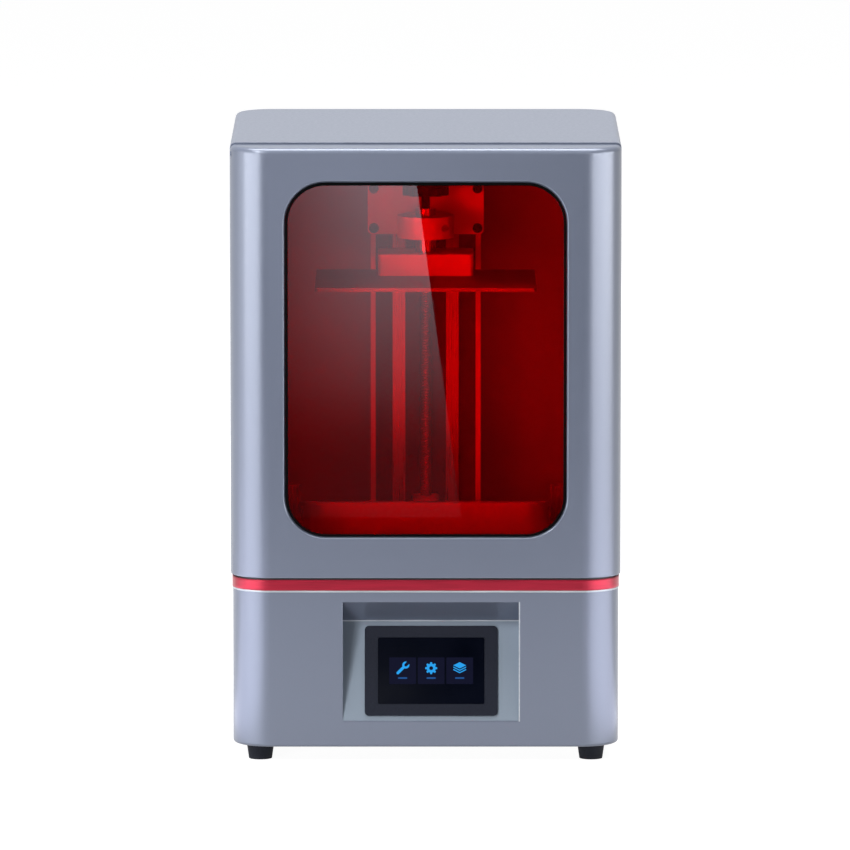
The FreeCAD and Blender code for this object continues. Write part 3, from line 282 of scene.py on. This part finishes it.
def grey_anodised():
    """Mid-grey anodised aluminium with a faint satin grain."""
    finish = Finish("grey_anodised", metallic=0.3)
    grain = finish.texture(1600.0, 4.0, (1.0, 1.0, 0.15))
    finish.colour(grain, srgb(112, 114, 120), srgb(126, 128, 134))
    finish.roughness(grain, 0.18, 0.26)
    return finish.bump(grain, 0.03, 0.0001).material


def plate_aluminium_painted_shade():
    """Bead-blasted plate made darker as painted shade for its shaded top, a little cloudy from use."""
    finish = Finish("plate_aluminium_painted_shade", specular_ior_level=0.2)
    grain = finish.texture(2600.0, 5.0)
    cloud = finish.texture(22.0, 3.0)
    finish.colour(cloud, srgb(120, 121, 125), srgb(134, 135, 139))
    finish.roughness(cloud, 0.5, 0.62)
    return finish.bump(grain, 0.15, 0.0001).material


def black_nickel():
    finish = Finish("black_nickel", metallic=0.85)
    smear = finish.texture(180.0, 3.0)
    finish.colour(smear, srgb(128, 129, 134), srgb(150, 151, 156))
    return finish.roughness(smear, 0.16, 0.24).material


def channel_painted_shade():
    """Channel that is bright at its front edges and dark behind them; the dark stands for the shade inside the
    channel and is painted shade.
    """
    finish = Finish("channel_painted_shade", metallic=0.3)
    grain = finish.texture(1800.0, 3.0, (1.0, 1.0, 0.02))
    axes = finish.nodes.new("ShaderNodeSeparateXYZ")
    # Mask from the front edges backwards: behind them the dark colour is painted shade
    depth = finish.nodes.new("ShaderNodeMapRange")
    depth.inputs["From Min"].default_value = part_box("z_column")[0].y + 0.2 * MM
    depth.inputs["From Max"].default_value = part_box("z_column")[0].y + 0.6 * MM
    painted_shade_blend = finish.nodes.new("ShaderNodeMix")
    painted_shade_blend.data_type = "RGBA"
    finish.links.new(finish.place, axes.inputs["Vector"])
    finish.links.new(axes.outputs["Y"], depth.inputs["Value"])
    finish.links.new(depth.outputs["Result"], painted_shade_blend.inputs[0])
    finish.links.new(finish.ramp(grain, srgb(200, 201, 204), srgb(218, 219, 222)), painted_shade_blend.inputs[6])
    # Dark colour behind the front edges, painted shade
    finish.links.new(finish.ramp(grain, srgb(60, 61, 66), srgb(74, 75, 80)), painted_shade_blend.inputs[7])
    finish.links.new(painted_shade_blend.outputs[2], finish.shader.inputs["Base Color"])
    return finish.roughness(grain, 0.3, 0.42).material


def ground_steel(name="ground_steel", low=srgb(186, 187, 190), high=srgb(212, 213, 216)):
    """Ground steel with lines along its length."""
    finish = Finish(name, metallic=0.9)
    lines = finish.texture(1800.0, 3.0, (1.0, 1.0, 0.02))
    finish.colour(lines, low, high)
    return finish.roughness(lines, 0.24, 0.36).material


def rail_steel_painted_shade():
    """Ground steel made darker as painted shade, for the shade that the rails stand in."""
    return ground_steel("rail_steel_painted_shade", srgb(160, 161, 164), srgb(184, 185, 188))


def moulded_black():
    finish = Finish("moulded_black", specular_ior_level=0.15)
    grain = finish.texture(1100.0, 4.0)
    finish.colour(grain, srgb(20, 20, 22), srgb(30, 30, 33))
    finish.roughness(grain, 0.4, 0.55)
    return finish.bump(grain, 0.2, 0.0001).material


def gasket_rubber():
    finish = Finish("gasket_rubber", specular_ior_level=0.02)
    speck = finish.texture(1500.0, 4.0)
    finish.colour(speck, srgb(5, 5, 6), srgb(9, 9, 10))
    finish.roughness(speck, 0.7, 0.85)
    return finish.bump(speck, 0.1, 0.0001).material


def edge_highlight_paint():
    """Bright paint for thin bars on the edges, a painted highlight, with fine lines along it."""
    finish = Finish("edge_highlight_paint", metallic=0.2)
    lines = finish.texture(900.0, 3.0, (0.05, 0.05, 0.4))
    finish.colour(lines, srgb(178, 184, 192), srgb(200, 205, 212))
    return finish.roughness(lines, 0.28, 0.36).material


def bay_lining_painted_light():
    """Paler, more matt facing of the screen bay; the paler colour is painted light, standing for the light the
    leaning panel catches.
    """
    finish = Finish("bay_lining_painted_light", specular_ior_level=0.25)
    flake = finish.texture(5200.0, 2.0)
    pale = srgb(134, 146, 160)
    finish.colour(flake, scaled(pale, 0.95), scaled(pale, 1.05))
    finish.roughness(flake, 0.45, 0.55)
    return finish.bump(flake, 0.03, 0.0001).material


def turned_brass():
    finish = Finish("turned_brass", metallic=0.95)
    rings = finish.texture(2000.0, 2.0, (0.05, 0.05, 1.0))
    finish.colour(rings, srgb(196, 158, 86), srgb(222, 186, 112))
    return finish.roughness(rings, 0.25, 0.36).material


def release_film():
    finish = Finish("release_film", ior=1.38)
    wave = finish.texture(40.0, 2.0)
    finish.colour(wave, srgb(92, 94, 104), srgb(104, 106, 116))
    return finish.roughness(wave, 0.12, 0.2).material


def circuit_board():
    finish = Finish("circuit_board", ior=1.5)
    traces = finish.texture(240.0, 1.0)
    finish.colour(traces, srgb(16, 74, 42), srgb(24, 96, 56))
    return finish.roughness(traces, 0.35, 0.5).material


def glowing(name, colour, strength):
    """A lit screen element, a little uneven as backlights are."""
    finish = Finish(name, base_color=(0.0, 0.0, 0.0, 1.0), roughness=0.3, specular_ior_level=0.06,
                    emission_strength=strength)
    cloud = finish.texture(70.0, 1.0)
    tint = finish.ramp(cloud, scaled(colour, 0.92), scaled(colour, 1.0))
    finish.links.new(tint, finish.shader.inputs["Emission Color"])
    return finish.material


SLOT_FINISHES = {
    "casing_grey": casing_paint(),
    "accent_red": anodised_red(),
    "foot_rubber": black_rubber(),
    "window_red": window_acrylic(),
    "gasket_black": gasket_rubber(),
    "bezel_black": black_plastic(),
    "display_glass": screen_glass(),
    "dark_metal": dark_steel(),
    "machined_aluminium": blasted_aluminium(),
    "bright_steel": ground_steel(),
    "knob_black": moulded_black(),
    "brass_nut": turned_brass(),
    "release_film": release_film(),
    "board_green": circuit_board(),
    "motor_black": dark_steel(),
}
NODE_FINISHES = {
    "vat_body": grey_anodised(),
    # Painted shade: the channel's dark inside, the darker rails and the darker build plate
    "z_column": channel_painted_shade(),
    "z_rail_left": rail_steel_painted_shade(),
    "z_rail_right": rail_steel_painted_shade(),
    "build_plate": plate_aluminium_painted_shade(),
    "vat_thumbscrew_left": black_nickel(),
    "vat_thumbscrew_right": black_nickel(),
}


def dress_nodes():
    """Give every CAD node its own finish, or else that of its slot."""
    slots = {part["node"]: part["material_slot"] for part in frame["record"]["subparts"]}
    for name, solid in frame["nodes"].items():
        finish = NODE_FINISHES.get(name, SLOT_FINISHES[slots[name]])
        if not solid.material_slots:
            solid.data.materials.append(finish)
        for holder in solid.material_slots:
            holder.link = "OBJECT"
            holder.material = finish


def display_face():
    """Middle of the display's face in metres, and its right, up and outward directions."""
    mesh = frame["nodes"]["touch_display"].data
    front = max(mesh.polygons, key=lambda face: face.area * (face.normal.y < -0.8))
    outward = front.normal.normalized()
    right = Vector((1.0, 0.0, 0.0))
    up = outward.cross(right)
    low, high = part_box("touch_display")
    corner = mesh.vertices[front.vertices[0]].co
    middle = (low + high) / 2
    return middle + outward * (corner - middle).dot(outward), right, up, outward


def flat_piece(name, loops, lift, thickness, material):
    """A thin shape along the display's face. The first loop is its outline and the others are holes."""
    middle, right, up, outward = display_face()
    points = [Vector((u, v, 0.0)) for loop in loops for u, v in loop]
    faces = tessellate_polygon([[Vector((u, v, 0.0)) for u, v in loop] for loop in loops])
    mesh = bmesh.new()
    levels = []
    for level in (lift, lift + thickness):
        levels.append([mesh.verts.new(middle + (right * p.x + up * p.y + outward * level) * MM) for p in points])
    for corners in faces:
        mesh.faces.new([levels[1][index] for index in corners])
        mesh.faces.new([levels[0][index] for index in reversed(corners)])
    first = 0
    for loop in loops:
        for index in range(len(loop)):
            a = first + index
            b = first + (index + 1) % len(loop)
            mesh.faces.new((levels[0][a], levels[0][b], levels[1][b], levels[1][a]))
        first += len(loop)
    bmesh.ops.recalc_face_normals(mesh, faces=mesh.faces)
    return add_piece(name, mesh, material, "frame")


def add_piece(name, mesh, material, body):
    """Turn a bmesh into a piece of the object that rides on a body."""
    data = bpy.data.meshes.new(name)
    mesh.to_mesh(data)
    mesh.free()
    data.materials.append(material)
    piece = bpy.data.objects.new(name, data)
    bpy.context.collection.objects.link(piece)
    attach(piece, body)
    return piece


def arc(middle, radius, start, stop, steps):
    """Points on an arc, angles in degrees."""
    angles = [math.radians(start + (stop - start) * step / steps) for step in range(steps + 1)]
    return [(middle[0] + radius * math.cos(a), middle[1] + radius * math.sin(a)) for a in angles]


def rounded_box(middle, width, height, radius, steps=4):
    x = width / 2 - radius
    y = height / 2 - radius
    corners = ((x, y, 0), (-x, y, 90), (-x, -y, 180), (x, -y, 270))
    return [point for u, v, turn in corners
            for point in arc((middle[0] + u, middle[1] + v), radius, turn, turn + 90, steps)]


def turned(points, degrees, offset):
    cos = math.cos(math.radians(degrees))
    sin = math.sin(math.radians(degrees))
    return [(u * cos - v * sin + offset[0], u * sin + v * cos + offset[1]) for u, v in points]


def wrench(middle):
    """Open-ended spanner that leans to the right."""
    outline = arc((-4.7, 0.0), 0.95, 90, 270, 8)
    outline += arc((3.1, 0.0), 2.45, -157, -28, 10)
    outline += [(3.3, -1.05)] + arc((3.1, 0.0), 1.05, -100, -260, 8) + [(3.3, 1.05)]
    outline += arc((3.1, 0.0), 2.45, 28, 157, 10)
    return [turned(outline, 45, middle)]


def cog(middle, teeth=8, tip=4.15, root=3.15, hole=1.35):
    outline = []
    for tooth in range(teeth):
        turn = 360 / teeth * tooth
        outline += arc(middle, root, turn - 22, turn - 14, 2) + arc(middle, tip, turn - 9, turn + 9, 3)
        outline += arc(middle, root, turn + 14, turn + 21.9, 2)
    return [outline, arc(middle, hole, 360, 15, 23)]


def layer_stack(middle, half=4.4, slope=2.2, band=0.8, gap=0.85):
    """A sheet and the edges of two more below it, each its own outline."""
    u, v = middle
    top = v + 2.0
    sheets = [[(u - half, top), (u, top - slope), (u + half, top), (u, top + slope)]]
    for _ in range(2):
        top -= gap
        sheets.append([(u - half, top), (u - half, top - band), (u, top - band - slope),
                       (u + half, top - band), (u + half, top), (u, top - slope)])
        top -= band
    return sheets


def light_display():
    """Home page of the display: three tiles with a pictogram and a plain bar under it, no lettering."""
    tile_glow = glowing("tile_glow", srgb(15, 17, 40), 1.0)
    icon_glow = glowing("icon_glow", srgb(42, 166, 246), 1.0)
    label_glow = glowing("label_glow", srgb(34, 84, 148), 1.0)
    names = ("tools", "settings", "print")
    for index, name in enumerate(names):
        place = ((index - 1) * TILE_PITCH, 0.0)
        icon = (place[0], place[1] + ICON_RISE)
        label = rounded_box((place[0], place[1] - LABEL_DROP), *LABEL_SIZE, LABEL_RADIUS)
        flat_piece(f"tile_{name}", [rounded_box(place, TILE_SIZE, TILE_SIZE, TILE_RADIUS)], 0.0, TILE_LIFT, tile_glow)
        flat_piece(f"label_{name}", [label], TILE_LIFT, ICON_LIFT - TILE_LIFT, label_glow)
        if name == "tools":
            flat_piece("icon_tools", wrench(icon), TILE_LIFT, ICON_LIFT - TILE_LIFT, icon_glow)
        elif name == "settings":
            flat_piece("icon_settings", cog(icon), TILE_LIFT, ICON_LIFT - TILE_LIFT, icon_glow)
        else:
            for sheet, outline in enumerate(layer_stack(icon)):
                flat_piece(f"icon_print_{sheet}", [outline], TILE_LIFT, ICON_LIFT - TILE_LIFT, icon_glow)


def face_bay():
    """Thin facing on the leaning panel round the bezel, paler as painted light."""
    middle, _, up, outward = display_face()
    middle = middle / MM
    foot = Vector((middle.x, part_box("base_housing")[0].y / MM, BAY_LEVELS[0]))
    crease = Vector((middle.x, *BAY_CREASE))
    lift = (foot - middle).dot(outward)
    low, high = (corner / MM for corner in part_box("touch_bezel"))
    ends = ((foot - middle).dot(up) + FACING_INSET, (crease - middle).dot(up) - FACING_INSET)
    hidden = ((low - middle).dot(up) + BEZEL_LAP, (high - middle).dot(up) - BEZEL_LAP)
    outline = [(x - middle.x, v) for x, v in ((BAY_SIDES[0], ends[0]), (BAY_SIDES[1], ends[0]),
                                              (BAY_SIDES[1], ends[1]), (BAY_SIDES[0], ends[1]))]
    hole = [(x - middle.x, v) for x, v in ((low.x + BEZEL_LAP, hidden[0]), (low.x + BEZEL_LAP, hidden[1]),
                                           (high.x - BEZEL_LAP, hidden[1]), (high.x - BEZEL_LAP, hidden[0]))]
    flat_piece("bay_facing_painted_light", [outline, hole], lift, FACING_THICKNESS, bay_lining_painted_light())


def screw_thread():
    """Trapezoidal four-start thread that stands for the plain lead screw."""
    low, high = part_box("lead_screw")
    middle = (low + high) / 2
    radius = (high.x - low.x) / 2
    rows = round((high.z - low.z) / MM / THREAD_STEP)
    mesh = bmesh.new()
    rings = []
    for row in range(rows + 1):
        z = low.z + (high.z - low.z) * row / rows
        ring = []
        for side in range(THREAD_SIDES):
            turn = side / THREAD_SIDES
            phase = (((z - low.z) / MM / THREAD_LEAD - turn) * THREAD_STARTS) % 1.0
            groove = min(1.0, max(0.0, 3.0 * abs(phase - 0.5) - 0.25))
            reach = radius - groove * THREAD_DEPTH * MM
            angle = 2 * math.pi * turn
            ring.append(mesh.verts.new((middle.x + reach * math.cos(angle), middle.y + reach * math.sin(angle), z)))
        rings.append(ring)
    for below, above in zip(rings, rings[1:]):
        for side in range(THREAD_SIDES):
            beside = (side + 1) % THREAD_SIDES
            mesh.faces.new((below[side], below[beside], above[beside], above[side]))
    mesh.faces.new(reversed(rings[0]))
    mesh.faces.new(rings[-1])
    thread = add_piece("lead_screw_thread", mesh, SLOT_FINISHES["bright_steel"], "screw_drive")
    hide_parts("lead_screw")


def swept(name, path, section, closed, material, body):
    """A bar whose section follows a path of places, each with its outward and upward directions."""
    mesh = bmesh.new()
    rings = []
    for place, outward, upward in path:
        rings.append([mesh.verts.new((Vector(place) + outward * u + upward * v) * MM) for u, v in section])
    pairs = list(zip(rings, rings[1:] + rings[:1] if closed else rings[1:]))
    for ring, following in pairs:
        for index in range(len(section)):
            beside = (index + 1) % len(section)
            mesh.faces.new((ring[index], ring[beside], following[beside], following[index]))
    if not closed:
        mesh.faces.new(reversed(rings[0]))
        mesh.faces.new(rings[-1])
    bmesh.ops.recalc_face_normals(mesh, faces=mesh.faces)
    return add_piece(name, mesh, material, body)


def painted_highlight_edges():
    """Thin bright bars along the top of the base and round the screen bay, painted highlights on those edges."""
    finish = edge_highlight_paint()
    low, high = (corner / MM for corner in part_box("base_housing"))
    up = Vector((0.0, 0.0, 1.0))
    middle = ((low.x + high.x) / 2, (low.y + high.y) / 2)
    outline = rounded_box(middle, high.x - low.x, high.y - low.y, BASE_CORNER, BASE_CORNER_STEPS)
    path = []
    for index, (x, y) in enumerate(outline):
        before = outline[index - 1]
        after = outline[(index + 1) % len(outline)]
        outward = Vector((after[1] - before[1], before[0] - after[0], 0.0)).normalized()
        path.append(((x, y, high.z), outward, up))
    swept("base_edge_painted_highlight", path, EDGE_SECTION, True, finish, "frame")
    outward, right = Vector((0.0, -1.0, 0.0)), Vector((1.0, 0.0, 0.0))
    crease = [((x, BAY_CREASE[0], BAY_CREASE[1]), outward, up) for x in BAY_SIDES]
    swept("bay_crease_painted_highlight", crease, CREASE_SECTION, False, finish, "frame")
    side = [((BAY_SIDES[1], low.y, z), outward, right) for z in BAY_LEVELS]
    swept("bay_side_painted_highlight", side, SIDE_SECTION, False, finish, "frame")


def seen_directly(nodes, links):
    """1 for rays that come from the camera, from gloss or through glass, and 0 once they have met a matt surface."""
    path = nodes.new("ShaderNodeLightPath")
    gloss = nodes.new("ShaderNodeMath")
    gloss.operation = "MAXIMUM"
    either = nodes.new("ShaderNodeMath")
    either.operation = "MAXIMUM"
    clean = nodes.new("ShaderNodeMath")
    clean.operation = "SUBTRACT"
    clean.use_clamp = True
    links.new(path.outputs["Is Camera Ray"], gloss.inputs[0])
    links.new(path.outputs["Is Glossy Ray"], gloss.inputs[1])
    links.new(gloss.outputs[0], either.inputs[0])
    links.new(path.outputs["Is Transmission Ray"], either.inputs[1])
    links.new(either.outputs[0], clean.inputs[0])
    links.new(path.outputs["Diffuse Depth"], clean.inputs[1])
    return clean.outputs[0]


def stage_floor():
    """Pale floor that is white to the camera and in reflections and keeps the shadow."""
    bpy.ops.mesh.primitive_plane_add(size=FLOOR_SIDE, location=(0, 0, -FLOOR_DROP))
    floor = bpy.context.object
    floor.name = "studio_floor"
    material = bpy.data.materials.new("studio_floor")
    material.use_nodes = True
    nodes = material.node_tree.nodes
    links = material.node_tree.links
    nodes.clear()
    diffuse = nodes.new("ShaderNodeBsdfDiffuse")
    diffuse.inputs["Color"].default_value = FLOOR_GREY
    lift = nodes.new("ShaderNodeEmission")
    strength = nodes.new("ShaderNodeMath")
    strength.operation = "MULTIPLY"
    strength.inputs[1].default_value = FLOOR_LIFT
    both = nodes.new("ShaderNodeAddShader")
    output = nodes.new("ShaderNodeOutputMaterial")
    links.new(seen_directly(nodes, links), strength.inputs[0])
    links.new(strength.outputs[0], lift.inputs["Strength"])
    links.new(diffuse.outputs[0], both.inputs[0])
    links.new(lift.outputs[0], both.inputs[1])
    links.new(both.outputs[0], output.inputs["Surface"])
    floor.data.materials.append(material)


def studio_world():
    """White to the camera, in gloss and through glass, and a dim even light to the rest."""
    world = bpy.data.worlds.new("studio_world")
    bpy.context.scene.world = world
    world.use_nodes = True
    nodes = world.node_tree.nodes
    links = world.node_tree.links
    nodes.clear()
    fill = nodes.new("ShaderNodeBackground")
    fill.inputs["Color"].default_value = FILL_COLOUR
    fill.inputs["Strength"].default_value = FILL_STRENGTH
    white = nodes.new("ShaderNodeBackground")
    white.inputs["Strength"].default_value = WHITE_STRENGTH
    mix = nodes.new("ShaderNodeMixShader")
    output = nodes.new("ShaderNodeOutputWorld")
    links.new(seen_directly(nodes, links), mix.inputs["Fac"])
    links.new(fill.outputs[0], mix.inputs[1])
    links.new(white.outputs[0], mix.inputs[2])
    links.new(mix.outputs[0], output.inputs["Surface"])


def softbox(name, place, width, height, power):
    """A soft rectangular light that looks at the middle of the object."""
    lamp = bpy.data.lights.new(name, "AREA")
    lamp.shape = "RECTANGLE"
    lamp.size = width
    lamp.size_y = height
    lamp.energy = power
    holder = bpy.data.objects.new(name, lamp)
    bpy.context.collection.objects.link(holder)
    holder.location = place
    holder.rotation_euler = (Vector(LIGHT_AIM) - Vector(place)).to_track_quat("-Z", "Y").to_euler()
    holder.visible_camera = False
    return holder


def around(azimuth, elevation, distance):
    """A place round the object: degrees to the left of the front, degrees up, and metres."""
    turn = math.radians(azimuth)
    rise = math.radians(elevation)
    reach = distance * math.cos(rise)
    return (-reach * math.sin(turn), -reach * math.cos(turn), LIGHT_AIM[2] + distance * math.sin(rise))


def studio_lights():
    """Two keys, soft light from above, the sides and behind, and two sheens that act on gloss alone."""
    softbox("overhead", (0.0, -0.05, 2.3), 2.4, 1.2, 65.0)
    softbox("left_side", around(80, 4, 2.4), 1.6, 2.0, 12.0)
    softbox("right_side", around(-80, 4, 2.4), 1.6, 2.0, 10.0)
    softbox("behind", around(180, 25, 2.6), 1.8, 1.6, 30.0).visible_glossy = False
    softbox("high_key", around(37, 38, 3.0), 0.5, 0.5, 36.0)
    softbox("low_key", around(30.5, 3.5, 3.0), 0.9, 0.2, 36.5).visible_glossy = False
    softbox("left_sheen", around(45, -2.4, 2.4), 2.8, 1.2, 60.0).visible_diffuse = False
    softbox("right_sheen", around(-60, -2.4, 2.4), 3.6, 1.2, 77.0).visible_diffuse = False


def glossy_card(name, corners, material):
    """A card that shows only in reflections."""
    mesh = bmesh.new()
    mesh.faces.new([mesh.verts.new(corner) for corner in corners])
    data = bpy.data.meshes.new(name)
    mesh.to_mesh(data)
    mesh.free()
    data.materials.append(material)
    card = bpy.data.objects.new(name, data)
    bpy.context.collection.objects.link(card)
    card.visible_camera = False
    card.visible_diffuse = False
    card.visible_transmission = False
    card.visible_shadow = False


def card_material(name, strength=None, level=0.0):
    """An even level, or a glow that fades towards the card's left and foot."""
    material = bpy.data.materials.new(name)
    material.use_nodes = True
    nodes = material.node_tree.nodes
    links = material.node_tree.links
    nodes.clear()
    glow = nodes.new("ShaderNodeEmission")
    glow.inputs["Color"].default_value = CARD_COLOUR
    glow.inputs["Strength"].default_value = level
    output = nodes.new("ShaderNodeOutputMaterial")
    links.new(glow.outputs[0], output.inputs["Surface"])
    if strength is None:
        return material
    place = nodes.new("ShaderNodeTexCoord")
    axes = nodes.new("ShaderNodeSeparateXYZ")
    across = nodes.new("ShaderNodeMapRange")
    along = nodes.new("ShaderNodeFloatCurve")
    height = nodes.new("ShaderNodeMapRange")
    product = nodes.new("ShaderNodeMath")
    product.operation = "MULTIPLY"
    across.inputs["From Min"].default_value = GLOW_SIDES[0]
    across.inputs["From Max"].default_value = GLOW_SIDES[1]
    across.inputs["To Min"].default_value = GLOW_FADE * strength
    across.inputs["To Max"].default_value = strength
    height.inputs["From Min"].default_value = GLOW_HEIGHTS[0]
    height.inputs["From Max"].default_value = GLOW_HEIGHTS[1]
    points = along.mapping.curves[0].points
    points[0].location = GLOW_CURVE[0]
    points[1].location = GLOW_CURVE[1]
    for spot in GLOW_CURVE[2:]:
        points.new(*spot)
    along.mapping.update()
    links.new(place.outputs["Object"], axes.inputs["Vector"])
    links.new(axes.outputs["X"], across.inputs["Value"])
    links.new(axes.outputs["Z"], height.inputs["Value"])
    links.new(height.outputs["Result"], along.inputs["Value"])
    links.new(across.outputs["Result"], product.inputs[0])
    links.new(along.outputs["Value"], product.inputs[1])
    links.new(product.outputs[0], glow.inputs["Strength"])
    return material


def reflection_cards():
    """A glow in the window's left, a flag that keeps the front's gloss low, and sheets that light the corners."""
    flag = [(-FLAG_REACH, FLAG_Y, 0.0), (FLAG_REACH, FLAG_Y, 0.0), (FLAG_REACH, FLAG_Y, FLAG_TOP),
            (-FLAG_REACH, FLAG_Y, FLAG_TOP)]
    glow = [(x, CARD_Y, z) for x, z in GLOW_CORNERS]
    glossy_card("window_flag", flag, card_material("window_flag"))
    near, far = SHEET_SIDES
    front, rear = SHEET_DEPTHS
    for side, sign in (("left", -1), ("right", 1)):
        sheet = [(sign * x, y, SHEET_RISE) for x, y in ((near, front), (near, rear), (far, rear), (far, front))]
        glossy_card(f"floor_sheet_{side}", sheet, card_material(f"floor_sheet_{side}", level=SHEET_LEVEL))
    glossy_card("window_glow", glow, card_material("window_glow", GLOW_LEVEL))


def photo_camera():
    camera = bpy.data.objects.new("photo_camera", bpy.data.cameras.new("photo_camera"))
    bpy.context.collection.objects.link(camera)
    camera.location = CAMERA_PLACE
    camera.rotation_euler = (math.pi / 2 - CAMERA_PITCH, 0.0, 0.0)
    camera.data.lens = CAMERA_LENS
    camera.data.sensor_width = 36.0
    camera.data.shift_x = CAMERA_SHIFT
    camera.data.clip_end = 100.0
    bpy.context.scene.camera = camera


dress_nodes()
light_display()
face_bay()
screw_thread()
painted_highlight_edges()
stage_floor()
studio_world()
studio_lights()
reflection_cards()
photo_camera()
bpy.context.scene.view_settings.view_transform = "Standard"
